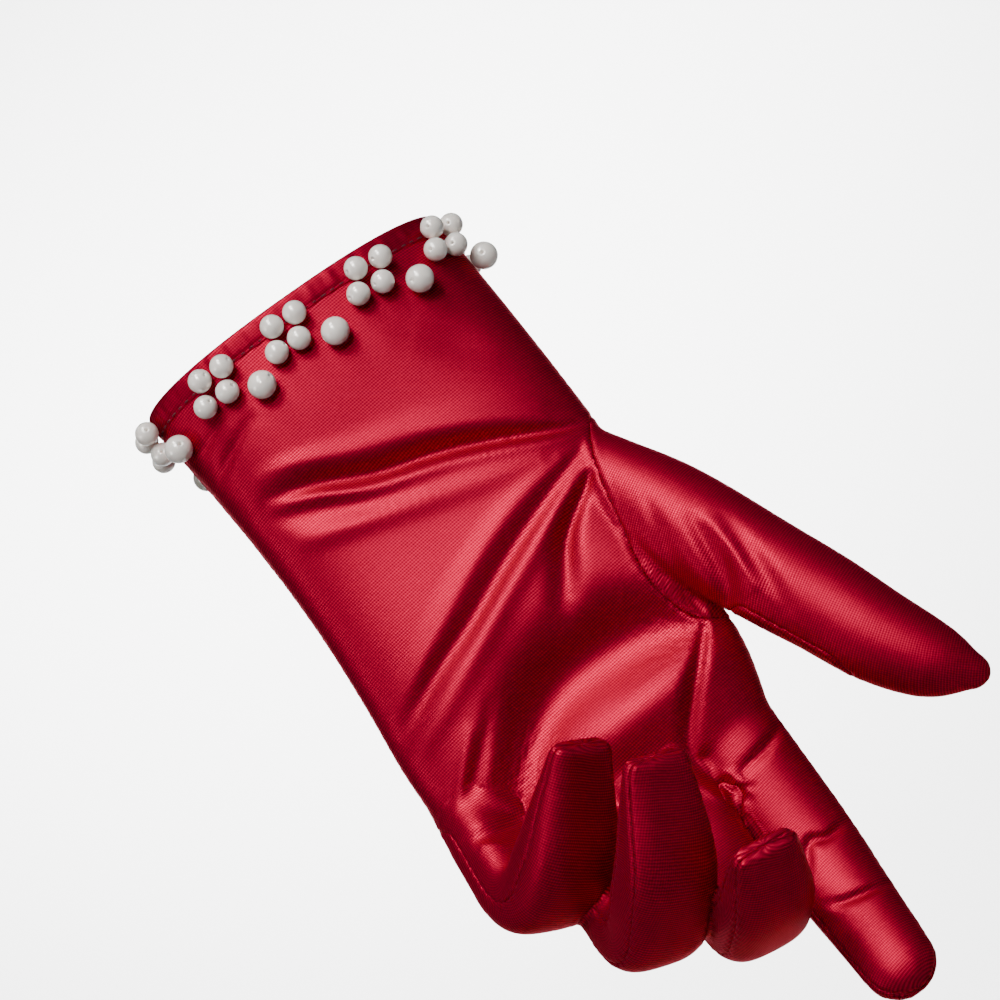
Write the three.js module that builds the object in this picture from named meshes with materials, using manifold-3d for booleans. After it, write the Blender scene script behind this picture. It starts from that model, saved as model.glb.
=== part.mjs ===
import * as THREE from 'three';
import { mergeVertices } from 'three/addons/utils/BufferGeometryUtils.js';
import Module from 'manifold-3d';

const wasm = await Module();
wasm.setup();

// Main sizes in millimetres
const wall = 1.2;
const seamGap = 0.3;
const palmLength = 143;
const wristHalfWidth = 42;
const wristHalfDepth = 20;
const hemDepth = 6;
const hemFold = 0.5;
const fingerLength = 100;
const fingerHalfWidth = 10;
const fingerHalfDepth = 8.5;
const thumbLength = 118;
const thumbHalfWidth = 12.4;
const thumbHalfDepth = 10.5;
const foldDeep = 2.2;
const foldReach = 5;
const smallPearl = 5.8;
const largePearl = 6.9;
const motifDrop = 8.2;
const motifCount = 9;

// Mesh steps
const palmRows = 11;
const palmSides = 24;
const palmCloser = 0.35;
const fingerRows = 7;
const fingerSides = 9;

// Glove body from the wrist rim (down 0) to the knuckles (down 1).
// left, right: shares of wristHalfWidth; front, back: shares of wristHalfDepth;
// turn: degrees about Z; tilt: how far a ring drops for each mm towards the thumb side
const sectionPower = 2.35;
const bodyRows = [
  { down: 0.0, left: 1.05, right: 0.985, front: 1.1, back: 1.1, turn: 6, tilt: 0 },
  { down: 0.15, left: 1.005, right: 1.0, front: 0.99, back: 1.0, turn: 5, tilt: 0 },
  { down: 0.3, left: 0.975, right: 1.01, front: 0.84, back: 0.86, turn: 3.5, tilt: 0 },
  { down: 0.45, left: 0.97, right: 1.01, front: 0.75, back: 0.75, turn: 2, tilt: 0 },
  { down: 0.6, left: 1.0, right: 0.99, front: 0.72, back: 0.7, turn: 1, tilt: 0 },
  { down: 0.75, left: 1.05, right: 0.96, front: 0.71, back: 0.67, turn: 0, tilt: 0.04 },
  { down: 0.88, left: 1.06, right: 0.92, front: 0.66, back: 0.63, turn: 0, tilt: 0.12 },
  { down: 1.0, left: 1.02, right: 0.78, front: 0.4, back: 0.42, turn: 0, tilt: 0.2 },
];

// Folds pressed into the palm side. deep and reach: shares of foldDeep and foldReach;
// line: places across, in shares of wristHalfWidth, and down, in shares of palmLength
const folds = [
  { deep: 0.9, reach: 0.9,
    line: [[0.93, 0.44], [0.71, 0.46], [0.24, 0.39], [-0.29, 0.34], [-0.62, 0.33]] },
  { deep: 0.8, reach: 0.9, line: [[0.81, 0.5], [0.19, 0.58], [-0.21, 0.66], [-0.5, 0.76]] },
  { deep: 1.5, reach: 1.1,
    line: [[0.79, 0.55], [0.38, 0.64], [0.12, 0.75], [-0.19, 0.85], [-0.33, 0.92]] },
  { deep: 0.65, reach: 1.2, line: [[0.57, 0.67], [0.81, 0.76]] },
  { deep: 0.65, reach: 0.7, line: [[0.74, 0.87], [0.5, 0.99], [0.38, 1.07]] },
];

// Fingers. root: middle of the knuckle in shares of wristHalfWidth, wristHalfDepth and
// palmLength; splay leans the finger to the thumb side and cup rolls its bending plane;
// bend: degrees after each joint; bones: lengths from joint to joint and to the tip, in shares
// of fingerLength; wide, front, rear: half sizes at root, joints and tip, in shares of
// fingerHalfWidth and fingerHalfDepth; tip: length of the closing end in shares of fingerLength
const fingers = {
  index: {
    root: [0.548, 0.075, 0.916], splay: -0.5, cup: 0, bend: [4, 16, 26],
    bones: [0.46, 0.19, 0.28], wide: [1.2, 1.1, 0.98, 0.82],
    front: [1.0, 0.89, 0.85, 0.64], rear: [1.0, 0.96, 0.89, 0.64], tip: 0.09, flat: false,
  },
  middle: {
    root: [0.062, 0.05, 0.958], splay: -8, cup: 16, bend: [20, 98, 114],
    bones: [0.51, 0.25, 0.18], wide: [1.14, 1.06, 1.0, 0.78],
    front: [0.94, 0.89, 0.82, 0.26], rear: [1.0, 1.0, 0.94, 0.31], tip: 0.02, flat: true,
  },
  ring: {
    root: [-0.414, 0.05, 0.909], splay: -17, cup: 26, bend: [28, 123, 148],
    bones: [0.5, 0.27, 0.25], wide: [1.02, 1.06, 1.06, 0.76],
    front: [0.94, 1.0, 1.0, 0.36], rear: [1.0, 1.0, 0.94, 0.31], tip: 0.02, flat: true,
  },
  little: {
    root: [-0.838, 0.05, 0.825], splay: -23, cup: 36, bend: [32, 122, 142],
    bones: [0.385, 0.2, 0.26], wide: [0.94, 1.03, 1.08, 0.74],
    front: [0.88, 1.0, 1.06, 0.38], rear: [0.94, 0.96, 0.89, 0.28], tip: 0.02, flat: true,
  },
};
// How far a finger's tube starts above its knuckle, and the lengths over which it bends
const fingerRoot = 16;
const rootSpan = 20;
const knuckleSpan = 24;
const endJointSpan = 14;

// Thumb. root in the same shares as a finger's; at: places along its middle line from the
// root, in shares of thumbLength; wide, deep: shares of thumbHalfWidth and thumbHalfDepth
const thumbRoot = [0.81, 0.05, 0.434];
const thumbRows = [
  { at: [0, 0, 0], wide: 0.44, deep: 0.62 },
  { at: [0.017, -0.025, -0.11], wide: 0.73, deep: 0.86 },
  { at: [0.078, -0.072, -0.288], wide: 1.0, deep: 1.0 },
  { at: [0.164, -0.119, -0.517], wide: 0.98, deep: 0.95 },
  { at: [0.21, -0.131, -0.627], wide: 0.94, deep: 0.91 },
  { at: [0.251, -0.144, -0.737], wide: 0.89, deep: 0.86 },
  { at: [0.295, -0.153, -0.826], wide: 0.77, deep: 0.74 },
  { at: [0.329, -0.158, -0.877], wide: 0.61, deep: 0.61 },
  { at: [0.361, -0.161, -0.919], wide: 0.34, deep: 0.34 },
];

// Thumb seam over the glove body, then the way round outside the thumb: X and Z from the
// thumb's root in shares of thumbLength
const thumbSeam = [
  [0.089, 0.008], [0.034, -0.085], [0.004, -0.169], [-0.023, -0.288], [-0.036, -0.381],
  [-0.024, -0.458], [0.007, -0.5], [0.072, -0.534],
];
const thumbOutside = [
  [0.153, -0.72], [0.237, -1.06], [0.56, -1.06], [0.56, -0.212], [0.22, 0.042],
];

// Webs: how far the crotch lies below the knuckle, and the half sizes of the web
const webDrop = 25;
const webReach = 16;
const webDepth = 5.5;

// Fourchettes: half angle round the finger at root and tip, and the strip round the crotch
const fourchetteAngles = [42, 24];
const crotchLength = 10;
const crotchHeight = 4.5;

// Pearl motif: four small pearls in a leaning square and a large one below to the thumb side.
// Lengths are shares of pearlPitch, but first is a share of the way between two motifs
const pearlPitch = smallPearl + seamGap;
const motif = {
  first: -0.27, upperLeft: [-0.3, 0.46], acrossAngle: -3.5, downAngle: -115,
  large: [1.56, -1.13],
};
// turn: degrees that a motif hangs out of line; shift, drop: how far it sits off its place
const motifPlaces = [
  { turn: 0, shift: 0, drop: 0 },
  { turn: -3, shift: -0.02, drop: 0 },
  { turn: -2, shift: -0.4, drop: 0 },
  { turn: 3, shift: 0, drop: 0.05 },
  { turn: -3, shift: 0, drop: 0.05 },
  { turn: 2, shift: 0, drop: 0 },
  { turn: -2, shift: 0, drop: -0.03 },
  { turn: 0, shift: 0.1, drop: -0.35 },
  { turn: -2, shift: 0.45, drop: -0.05 },
];

const rad = (degrees) => degrees * Math.PI / 180;
const add = (a, b, k = 1) => [a[0] + b[0] * k, a[1] + b[1] * k, a[2] + b[2] * k];
const smooth = (t) => {
  const c = Math.min(Math.max(t, 0), 1);
  return c * c * (3 - 2 * c);
};

// Smooth value of a table column at a place between its rows
function curveValue(places, values, place) {
  const last = places.length - 1;
  const at = Math.min(Math.max(place, places[0]), places[last]);
  let k = 0;
  while (k < last - 1 && at > places[k + 1]) k += 1;
  const slope = (i) => {
    if (i === 0) return (values[1] - values[0]) / (places[1] - places[0]);
    if (i === last) return (values[last] - values[last - 1]) / (places[last] - places[last - 1]);
    return (values[i + 1] - values[i - 1]) / (places[i + 1] - places[i - 1]);
  };
  const span = places[k + 1] - places[k];
  const t = (at - places[k]) / span;
  const t2 = t * t;
  const t3 = t2 * t;
  return (2 * t3 - 3 * t2 + 1) * values[k] + (t3 - 2 * t2 + t) * span * slope(k)
    + (3 * t2 - 2 * t3) * values[k + 1] + (t3 - t2) * span * slope(k + 1);
}

function bodyValue(column, down) {
  return curveValue(bodyRows.map((row) => row.down), bodyRows.map((row) => row[column]), down);
}

// Closed solid from rings with the same number of points
function loft(rings) {
  const count = rings[0].length;
  const points = rings.flat();
  const faces = [];
  for (let r = 0; r < rings.length - 1; r += 1) {
    for (let i = 0; i < count; i += 1) {
      const a = r * count + i;
      const b = r * count + (i + 1) % count;
      faces.push(a, b, a + count, b, b + count, a + count);
    }
  }
  const first = THREE.ShapeUtils.triangulateShape(flatten(rings[0]), []);
  first.forEach(([a, b, c]) => faces.push(a, c, b));
  const end = (rings.length - 1) * count;
  const last = THREE.ShapeUtils.triangulateShape(flatten(rings[rings.length - 1]), []);
  last.forEach(([a, b, c]) => faces.push(end + a, end + b, end + c));
  return solid(points, faces);
}

// Ring points in their own plane, turned so that the ring runs anticlockwise
function flatten(ring) {
  const points = ring.map((p) => new THREE.Vector3(...p));
  const middle = points.reduce((sum, p) => sum.add(p), new THREE.Vector3());
  middle.divideScalar(points.length);
  const across = points[0].clone().sub(middle).normalize();
  const normal = new THREE.Vector3();
  points.forEach((p, i) => {
    const next = points[(i + 1) % points.length];
    normal.add(p.clone().sub(middle).cross(next.clone().sub(middle)));
  });
  normal.normalize();
  const up = normal.clone().cross(across);
  return points.map((p) => {
    const arm = p.clone().sub(middle);
    return new THREE.Vector2(arm.dot(across), arm.dot(up));
  });
}

function solid(points, faces) {
  const mesh = new wasm.Mesh({
    numProp: 3,
    vertProperties: new Float32Array(points.flat()),
    triVerts: new Uint32Array(faces),
  });
  const made = new wasm.Manifold(mesh);
  if (made.volume() >= 0) return made;
  const turned = [];
  for (let i = 0; i < faces.length; i += 3) turned.push(faces[i], faces[i + 2], faces[i + 1]);
  return solid(points, turned);
}

function union(parts) {
  return parts.reduce((sum, part) => sum.add(part));
}

// How far the folds push the palm side in at a place
function foldDepth(x, z) {
  let depth = 0;
  folds.forEach((fold) => {
    let near = Infinity;
    const line = fold.line.map(([across, down]) => [
      across * wristHalfWidth, -down * palmLength,
    ]);
    for (let i = 0; i < line.length - 1; i += 1) {
      const [ax, az] = line[i];
      const [bx, bz] = line[i + 1];
      const length = (bx - ax) ** 2 + (bz - az) ** 2;
      const t = Math.min(Math.max(((x - ax) * (bx - ax) + (z - az) * (bz - az)) / length, 0), 1);
      near = Math.min(near, Math.hypot(x - ax - (bx - ax) * t, z - az - (bz - az) * t));
    }
    depth += foldDeep * fold.deep * Math.exp(-((near / foldReach / fold.reach) ** 2));
  });
  return depth;
}

// One point of the glove body; angle 0 is the thumb side and 90 the back
function bodyPoint(down, angle, inset) {
  const c = Math.cos(angle);
  const s = Math.sin(angle);
  const power = 2 / sectionPower;
  const wide = wristHalfWidth * bodyValue(c > 0 ? 'right' : 'left', down);
  const deep = wristHalfDepth * bodyValue(s > 0 ? 'back' : 'front', down);
  const turn = rad(bodyValue('turn', down));
  const turned = (a, b) => {
    const x = a * Math.sign(c) * Math.abs(c) ** power;
    const y = b * Math.sign(s) * Math.abs(s) ** power;
    return [x * Math.cos(turn) - y * Math.sin(turn), x * Math.sin(turn) + y * Math.cos(turn)];
  };
  const [outerX] = turned(wide, deep);
  const [x, y] = turned(wide - inset, deep - inset);
  const z = -down * palmLength - bodyValue('tilt', down) * outerX;
  const push = s < 0 ? foldDepth(outerX, z) * smooth(-s * 2.2) : 0;
  return [x, y + push, z];
}

// The glove body; raised carries it on above the rim, for the hollow
function bodyLoft(inset, raised) {
  const rings = [];
  for (let r = 0; r <= palmRows; r += 1) {
    const down = Math.min(r / palmRows, 1 - Math.max(inset, 0) / palmLength);
    const ring = [];
    for (let i = 0; i < palmSides; i += 1) {
      const turn = 2 * Math.PI * i / palmSides;
      ring.push(bodyPoint(down, turn - palmCloser * Math.cos(turn), inset));
    }
    rings.push(ring);
  }
  if (raised > 0) rings.unshift(rings[0].map(([x, y, z]) => [x, y, z + raised]));
  return loft(rings);
}

const bodyPlace = ([across, out, down]) => [
  across * wristHalfWidth, out * wristHalfDepth, -down * palmLength,
];

// Centre line of a finger with its three directions at each station
function fingerStations(finger) {
  const splay = rad(finger.splay);
  const cup = rad(finger.cup);
  const along = [Math.sin(splay), 0, -Math.cos(splay)];
  const across = [Math.cos(splay), 0, Math.sin(splay)];
  const palmward = add([0, -Math.cos(cup), 0], across, Math.sin(cup));
  const across0 = add([0, Math.sin(cup), 0], across, Math.cos(cup));
  const [first, second, third] = finger.bones.map((bone) => bone * fingerLength);
  const length = fingerRoot + first + second + third;
  const bendAt = (s) => {
    const [a, b, c] = finger.bend;
    return rad(a * smooth((s - fingerRoot) / rootSpan + 0.5)
      + (b - a) * smooth((s - fingerRoot - first) / knuckleSpan + 0.5)
      + (c - b) * smooth((s - fingerRoot - first - second) / endJointSpan + 0.5));
  };
  const places = [0, fingerRoot + first, fingerRoot + first + second, length];
  const stations = [];
  const steps = 240;
  let centre = add(bodyPlace(finger.root), along, -fingerRoot);
  for (let k = 0; k <= steps; k += 1) {
    const s = length * k / steps;
    const bend = bendAt(s);
    const ahead = add(along.map((v) => v * Math.cos(bend)), palmward, Math.sin(bend));
    const level = add(palmward.map((v) => v * Math.cos(bend)), along, -Math.sin(bend));
    const roll = cup * (1 - smooth((s - fingerRoot * 0.5) / (fingerRoot * 1.5)));
    const side = add(across0.map((v) => v * Math.cos(roll)), level, Math.sin(roll));
    const front = add(level.map((v) => v * Math.cos(roll)), across0, -Math.sin(roll));
    stations.push({
      s, centre, ahead, front, side, share: s / length, weight: s / 12 + bend / rad(24),
      wide: fingerHalfWidth * curveValue(places, finger.wide, s),
      palmar: fingerHalfDepth * curveValue(places, finger.front, s),
      rear: fingerHalfDepth * curveValue(places, finger.rear, s),
    });
    centre = add(centre, ahead, length / steps);
  }
  return stations;
}

// Stations for the rings of a finger, closer together where it bends
function ringStations(finger) {
  const stations = fingerStations(finger);
  const length = stations[stations.length - 1].s;
  const end = length - finger.tip * fingerLength;
  const last = stations.findLast((station) => station.s <= end);
  const picked = [];
  for (let k = 0; k <= fingerRows; k += 1) {
    const weight = last.weight * k / fingerRows;
    picked.push(stations.find((station) => station.weight >= weight));
  }
  return picked;
}

// Station at a distance below the knuckle
function stationAt(finger, below) {
  return fingerStations(finger).find((station) => station.s >= fingerRoot + below);
}

function tubeRing(station, shape) {
  return shape.map(([across, ahead]) => add(add(station.centre, station.side, across),
    station.front, ahead));
}

function ellipse(station, inset, scale) {
  const points = [];
  for (let i = 0; i < fingerSides; i += 1) {
    const angle = 2 * Math.PI * (i + 0.5) / fingerSides;
    const c = Math.cos(angle);
    const s = Math.sin(angle);
    const deep = (s > 0 ? station.palmar : station.rear) - inset;
    const wide = station.wide - inset;
    points.push([wide * c * scale, Math.max(deep, 0.5) * s * scale]);
  }
  return points;
}

function fingerTube(finger, inset) {
  const stations = ringStations(finger);
  const rings = stations.map((station) => tubeRing(station, ellipse(station, inset, 1)));
  const last = stations[stations.length - 1];
  const caps = finger.flat ? [[1, 0.86]] : [[0.45, 0.92], [0.8, 0.68], [1, 0.34]];
  caps.forEach(([share, scale]) => {
    const centre = add(last.centre, last.ahead, (finger.tip * fingerLength - inset) * share);
    rings.push(tubeRing({ ...last, centre }, ellipse(last, inset, scale)));
  });
  return loft(rings);
}

// Web of cloth between the roots of two neighbouring fingers
function webBetween(thumbward, littleward, inset) {
  const ring = (finger) => {
    const station = stationAt(finger, webDrop - webReach);
    const shape = [];
    for (let i = 0; i < fingerSides; i += 1) {
      const angle = 2 * Math.PI * i / fingerSides;
      shape.push([(webDepth - inset) * Math.sin(angle), (webReach - inset) * Math.cos(angle)]);
    }
    return shape.map(([front, ahead]) => add(add(station.centre, station.front, front),
      station.ahead, ahead));
  };
  return loft([ring(thumbward), ring(littleward)]);
}

// Part of the room round a finger: the palm half, the back half or a wedge at one side
function fingerRoom(finger, outline, grow, beyond, start) {
  const stations = ringStations(finger).filter((station) => station.s > start);
  stations.unshift(fingerStations(finger).find((station) => station.s >= start));
  const first = stations[0];
  const last = stations[stations.length - 1];
  const rings = stations.map((station) => tubeRing(station, outline(station)));
  const above = { ...first, centre: add(first.centre, first.ahead, -1 - grow) };
  const below = { ...last, centre: add(last.centre, last.ahead, beyond + grow) };
  return loft([tubeRing(above, outline(first)), ...rings, tubeRing(below, outline(last))]);
}

const halfOutline = (toFront, grow) => (station) => {
  const wide = station.wide + 1.5;
  const far = (toFront ? station.palmar : station.rear) + 1.5;
  const sign = toFront ? 1 : -1;
  return [[-wide - grow, -sign * grow], [wide + grow, -sign * grow],
    [wide + grow, sign * (far + grow)], [-wide - grow, sign * (far + grow)]];
};

const wedgeOutline = (toThumb, grow) => (station) => {
  const [wide, narrow] = fourchetteAngles;
  const angle = rad(wide + (narrow - wide) * station.share);
  const slope = Math.tan(angle);
  const sign = toThumb ? 1 : -1;
  const near = station.wide * 0.3 - grow;
  const far = station.wide + 0.4 + grow;
  const lift = grow / Math.cos(angle);
  const rise = (across) => across * slope * station.palmar / station.wide + lift;
  return [[sign * near, -rise(near)], [sign * far, -rise(far)],
    [sign * far, rise(far)], [sign * near, rise(near)]];
};

// Half size of the rooms that reach clear of the whole glove
const clear = wristHalfWidth * 1.5 + thumbLength / 2;

// Room in front of the surface that parts palm and back; grow moves its border out
function frontRoom(grow) {
  const beyond = fingerHalfWidth * 1.5;
  const start = fingerRoot * 1.2;
  const rings = [];
  for (let r = 0; r <= palmRows; r += 1) {
    const down = 1.35 * r / palmRows;
    const at = Math.min(down, 1);
    const turn = rad(bodyValue('turn', at));
    const edge = (x) => x * Math.tan(turn) + grow;
    const z = -down * palmLength + (r === 0 ? hemDepth : 0);
    rings.push([[-clear, edge(-clear), z], [-clear, -clear, z], [clear, -clear, z],
      [clear, edge(clear), z]]);
  }
  let room = loft(rings);
  Object.values(fingers).forEach((finger) => {
    room = room.subtract(fingerRoom(finger, halfOutline(false, -grow), -grow, beyond, start));
    room = room.add(fingerRoom(finger, halfOutline(true, grow), grow, beyond, start));
  });
  return room;
}

// Outline in X and Z moved outwards and drawn out along Y
function thumbRoom(grow) {
  const [rootX, , rootZ] = bodyPlace(thumbRoot);
  const outline = [...thumbSeam, ...thumbOutside].map(([across, up]) => [
    rootX + across * thumbLength, rootZ + up * thumbLength,
  ]);
  const moved = outline.map(([x, z], i) => {
    const [ax, az] = outline[(i + outline.length - 1) % outline.length];
    const [bx, bz] = outline[(i + 1) % outline.length];
    const length = Math.hypot(bx - ax, bz - az);
    return [x + (bz - az) / length * grow, z - (bx - ax) / length * grow];
  });
  return loft([moved.map(([x, z]) => [x, -clear, z]), moved.map(([x, z]) => [x, clear, z])]);
}

function thumbTube(inset) {
  const rings = [];
  const end = thumbRows.length - 1;
  const root = bodyPlace(thumbRoot);
  thumbRows.forEach((row, k) => {
    const before = thumbRows[Math.max(k - 1, 0)].at;
    const after = thumbRows[Math.min(k + 1, end)].at;
    const wide = thumbHalfWidth * row.wide - inset;
    const deep = thumbHalfDepth * row.deep - inset;
    const ahead = new THREE.Vector3(...add(after, before, -1)).normalize();
    const deepWay = new THREE.Vector3(0, 1, 0).addScaledVector(ahead, -ahead.y).normalize();
    const wideWay = new THREE.Vector3().crossVectors(ahead, deepWay);
    const back = k === end ? inset : 0;
    const ring = [];
    for (let i = 0; i < fingerSides; i += 1) {
      const angle = 2 * Math.PI * (i + 0.5) / fingerSides;
      const p = new THREE.Vector3(...add(root, row.at, thumbLength));
      p.addScaledVector(wideWay, Math.cos(angle) * Math.max(wide, 0.8));
      p.addScaledVector(deepWay, Math.sin(angle) * Math.max(deep, 0.8));
      p.addScaledVector(ahead, -back);
      ring.push([p.x, p.y, p.z]);
    }
    rings.push(ring);
  });
  return loft(rings);
}

// Fourchette room between two fingers, joined through the web at the crotch
function fourchetteRoom(thumbward, littleward, grow) {
  const start = fingerRoot + webDrop - crotchLength / 2;
  const webRing = (finger) => {
    const station = stationAt(finger, webDrop);
    const high = crotchHeight + grow;
    const half = crotchLength / 2 + grow;
    return [[-high, -half], [high, -half], [high, half], [-high, half]]
      .map(([front, ahead]) => add(add(station.centre, station.front, front),
        station.ahead, ahead));
  };
  return union([
    fingerRoom(thumbward, wedgeOutline(false, grow), grow, 0, start),
    fingerRoom(littleward, wedgeOutline(true, grow), grow, 0, start),
    loft([webRing(thumbward), webRing(littleward)]),
  ]);
}

function slab(top, bottom) {
  const corner = [[-clear, -clear], [clear, -clear], [clear, clear], [-clear, clear]];
  return loft([corner.map(([x, y]) => [x, y, top]), corner.map(([x, y]) => [x, y, bottom])]);
}

function largest(made) {
  const parts = made.decompose();
  parts.sort((a, b) => b.volume() - a.volume());
  return parts[0];
}

const tips = Object.values(fingers);
const glove = (inset, raised) => union([
  bodyLoft(inset, raised), thumbTube(inset), ...tips.map((finger) => fingerTube(finger, inset)),
  ...tips.slice(1).map((finger, k) => webBetween(tips[k], finger, inset)),
]);
const outer = glove(0, 0);
const inner = glove(wall, hemDepth);
const shell = outer.subtract(inner);

const fourchettes = (grow) => ({
  fourchette_index_middle: fourchetteRoom(fingers.index, fingers.middle, grow),
  fourchette_middle_ring: fourchetteRoom(fingers.middle, fingers.ring, grow),
  fourchette_ring_little: fourchetteRoom(fingers.ring, fingers.little, grow),
});
const fourchetteRooms = fourchettes(0);
const fourchetteGaps = union(Object.values(fourchettes(seamGap)));

const belowHem = shell.subtract(slab(clear, -hemDepth - seamGap));
const panels = belowHem.subtract(fourchetteGaps).subtract(thumbRoom(seamGap));
const hemOuter = bodyLoft(-hemFold, 0).intersect(slab(clear, -hemDepth));
const hem = hemOuter.subtract(inner);

const satin = 0x9f1239;
const pearlWhite = 0xf1ece6;
const group = new THREE.Group();
group.name = 'wrist_length_dress_glove';

function addNode(name, geometry, color, roughness) {
  const material = new THREE.MeshStandardMaterial({ color, roughness });
  material.name = name;
  const mesh = new THREE.Mesh(geometry, material);
  mesh.name = name;
  group.add(mesh);
}

function clothNode(name, made) {
  const mesh = largest(made).getMesh();
  const geometry = new THREE.BufferGeometry();
  const positions = new Float32Array(mesh.numVert * 3);
  for (let i = 0; i < mesh.numVert; i += 1) {
    for (let k = 0; k < 3; k += 1) {
      positions[3 * i + k] = mesh.vertProperties[i * mesh.numProp + k];
    }
  }
  geometry.setAttribute('position', new THREE.BufferAttribute(positions, 3));
  geometry.setIndex(new THREE.BufferAttribute(new Uint32Array(mesh.triVerts), 1));
  geometry.computeVertexNormals();
  addNode(name, geometry, satin, 0.45);
}

clothNode('palm_panel', panels.intersect(frontRoom(-seamGap / 2)));
clothNode('back_panel', panels.subtract(frontRoom(seamGap / 2)));
clothNode('thumb', belowHem.intersect(thumbRoom(0)));
Object.entries(fourchetteRooms).forEach(([name, room]) => {
  clothNode(name, belowHem.subtract(thumbRoom(seamGap)).intersect(room));
});
clothNode('turned_hem', hem);

// Rim as a fine closed line with the length along it from the middle of the palm side
const rimSteps = 720;
const rim = [];
let rimLength = 0;
for (let i = 0; i <= rimSteps; i += 1) {
  const angle = 2 * Math.PI * i / rimSteps - Math.PI / 2;
  const point = bodyPoint(0, angle, 0);
  if (i > 0) {
    const [x, y] = rim[i - 1].point;
    rimLength += Math.hypot(point[0] - x, point[1] - y);
  }
  rim.push({ angle, point, along: rimLength });
}

// A place on the outside of the glove, with the level way out from it
function onGlove(along, z) {
  const wrapped = ((along % rimLength) + rimLength) % rimLength;
  const k = rim.findIndex((entry) => entry.along >= wrapped);
  const angle = rim[k].angle;
  const down = -z / palmLength;
  const [x, y] = bodyPoint(down, angle, 0);
  const [ax, ay] = bodyPoint(down, angle - 0.02, 0);
  const [bx, by] = bodyPoint(down, angle + 0.02, 0);
  const length = Math.hypot(bx - ax, by - ay);
  return { x, y, outX: (by - ay) / length, outY: (ax - bx) / length };
}

function pearlNode(name, size, along, z) {
  const lift = z > -hemDepth - size / 2 ? hemFold : 0;
  const { x, y, outX, outY } = onGlove(along, z);
  const reach = size / 2 + seamGap + 0.15 + lift;
  const ball = new THREE.IcosahedronGeometry(size / 2, 1);
  ball.deleteAttribute('normal');
  ball.deleteAttribute('uv');
  const geometry = mergeVertices(ball);
  geometry.translate(x + outX * reach, y + outY * reach, z);
  geometry.computeVertexNormals();
  addNode(name, geometry, pearlWhite, 0.3);
}

const step = (from, length, degrees) => [
  from[0] + length * Math.cos(rad(degrees)), from[1] + length * Math.sin(rad(degrees)),
];
const upperLeft = motif.upperLeft.map((share) => share * pearlPitch);
const large = motif.large.map((share) => share * pearlPitch);
const upperRight = step(upperLeft, pearlPitch, motif.acrossAngle);
const lowerLeft = step(upperLeft, pearlPitch, motif.downAngle);
const lowerRight = step(lowerLeft, pearlPitch, motif.acrossAngle);
const pearls = {
  upper_left: upperLeft, upper_right: upperRight,
  lower_right: lowerRight, lower_left: lowerLeft,
};
for (let k = 0; k < motifCount; k += 1) {
  const { turn, shift, drop } = motifPlaces[k % motifPlaces.length];
  const middle = (motif.first + k) * rimLength / motifCount + shift * pearlPitch;
  const place = ([across, up]) => [
    middle + across * Math.cos(rad(turn)) - up * Math.sin(rad(turn)),
    -motifDrop - drop * pearlPitch + across * Math.sin(rad(turn)) + up * Math.cos(rad(turn)),
  ];
  Object.entries(pearls).forEach(([role, offset]) => {
    pearlNode(`pearl_${k + 1}_${role}`, smallPearl, ...place(offset));
  });
  pearlNode(`pearl_${k + 1}_large`, largePearl, ...place(large));
}

export default group;
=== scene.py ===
import math
import bpy
import numpy as np
from mathutils import Matrix, Vector
from mathutils.kdtree import KDTree


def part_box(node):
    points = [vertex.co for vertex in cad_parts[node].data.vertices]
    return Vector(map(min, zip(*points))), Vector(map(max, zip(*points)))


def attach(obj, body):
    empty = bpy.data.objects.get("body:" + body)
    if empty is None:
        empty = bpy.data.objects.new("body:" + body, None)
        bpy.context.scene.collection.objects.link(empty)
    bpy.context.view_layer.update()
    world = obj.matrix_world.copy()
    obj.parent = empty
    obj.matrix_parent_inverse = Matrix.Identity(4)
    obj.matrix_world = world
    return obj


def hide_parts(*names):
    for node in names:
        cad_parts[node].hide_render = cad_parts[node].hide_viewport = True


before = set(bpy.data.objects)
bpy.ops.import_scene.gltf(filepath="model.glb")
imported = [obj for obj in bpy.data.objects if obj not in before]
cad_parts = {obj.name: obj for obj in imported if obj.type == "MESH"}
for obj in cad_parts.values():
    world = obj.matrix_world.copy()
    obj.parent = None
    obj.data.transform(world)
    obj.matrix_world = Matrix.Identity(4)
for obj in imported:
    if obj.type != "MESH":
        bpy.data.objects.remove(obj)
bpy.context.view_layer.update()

# Camera
# A camera 0.9 m from the palm and a little below it, with a long lens, rolled so that the wrist
# points to the upper left.
roll = math.radians(36.87)
rise = math.radians(13)
camera_distance = 0.9
focal_pixels, picture_pixels, sensor_width = 3780, 1000, 36
ahead = Vector((0, math.cos(rise), math.sin(rise)))
level = Vector((1, 0, 0))
upright = Vector((0, -math.sin(rise), math.cos(rise)))
right = math.cos(roll) * level - math.sin(roll) * upright
up = math.sin(roll) * level + math.cos(roll) * upright
target = Vector((0.0129, -0.01, -0.069))
camera_data = bpy.data.cameras.new("camera")
camera_data.sensor_width = sensor_width
camera_data.lens = focal_pixels * sensor_width / picture_pixels
camera_data.clip_start = 0.05
camera_data.clip_end = 20
camera = bpy.data.objects.new("camera", camera_data)
bpy.context.scene.collection.objects.link(camera)
camera_turn = Matrix((right, up, -ahead)).transposed().to_4x4()
camera.matrix_world = Matrix.Translation(target - camera_distance * ahead) @ camera_turn
bpy.context.scene.camera = camera

# Backdrop
# A wide sheet of pale matt paper that runs along the floor and curves up behind the glove, well
# clear of it.
sheet_front, curve_start, curve_radius, curve_steps = -2.5, 1.8, 0.8, 12
sheet_top, sheet_half_width, floor_height = 4.5, 4, -0.75


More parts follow.
